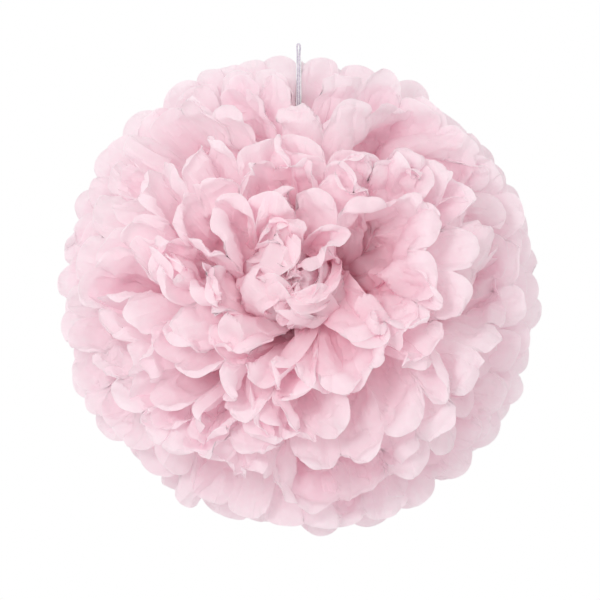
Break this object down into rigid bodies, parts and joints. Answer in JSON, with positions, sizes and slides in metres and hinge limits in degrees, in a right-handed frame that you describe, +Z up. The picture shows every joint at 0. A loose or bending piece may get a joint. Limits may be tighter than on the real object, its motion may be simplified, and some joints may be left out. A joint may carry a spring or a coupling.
{
  "type": "tissue paper pom-pom",
  "caption": "Fluffed tissue paper pom-pom: pleated sheets tied at the waist by a wire and pulled out into layers of rounded petals, hung on a doubled cord.",
  "frame": {"origin": "inside of the cord loop's crown, where a hook carries the ball", "axes": "+Z up along the cord; -Y to the front, where the first flower centre faces; X along the gathered waist, from the left half fan to the right one"},
  "size_m": [0.405, 0.3538, 0.4076],
  "materials": {
    "pink_tissue": "thin, matt, translucent pale pink tissue paper with fine wrinkles",
    "white_wire": "paper-covered white florist's wire",
    "white_cord": "soft twisted white cotton cord"
  },
  "bodies": {
    "cord": {"hanging_cord": "white_cord"},
    "knot": {"cord_knot": "white_cord"},
    "ball": {"waist_wire": "white_wire", "tissue_sheet_front_1": "pink_tissue", "tissue_sheet_front_2": "pink_tissue", "tissue_sheet_front_3": "pink_tissue", "tissue_sheet_front_4": "pink_tissue", "tissue_sheet_front_5": "pink_tissue", "tissue_sheet_front_6": "pink_tissue", "tissue_sheet_front_7": "pink_tissue", "tissue_sheet_front_8": "pink_tissue", "tissue_sheet_back_1": "pink_tissue", "tissue_sheet_back_2": "pink_tissue", "tissue_sheet_back_3": "pink_tissue", "tissue_sheet_back_4": "pink_tissue", "tissue_sheet_back_5": "pink_tissue", "tissue_sheet_back_6": "pink_tissue", "tissue_sheet_back_7": "pink_tissue", "tissue_sheet_back_8": "pink_tissue"}
  },
  "joints": [
    {"name": "ball_turn", "type": "hinge", "parent": "cord", "child": "knot", "pos_m": [0, 0, -0.1773], "axis": [0, 0, 1], "continuous": true},
    {"name": "ball_swing", "type": "hinge", "parent": "knot", "child": "ball", "pos_m": [0, 0, -0.19005], "axis": [1, 0, 0], "range_deg": [-10, 10]}
  ]
}
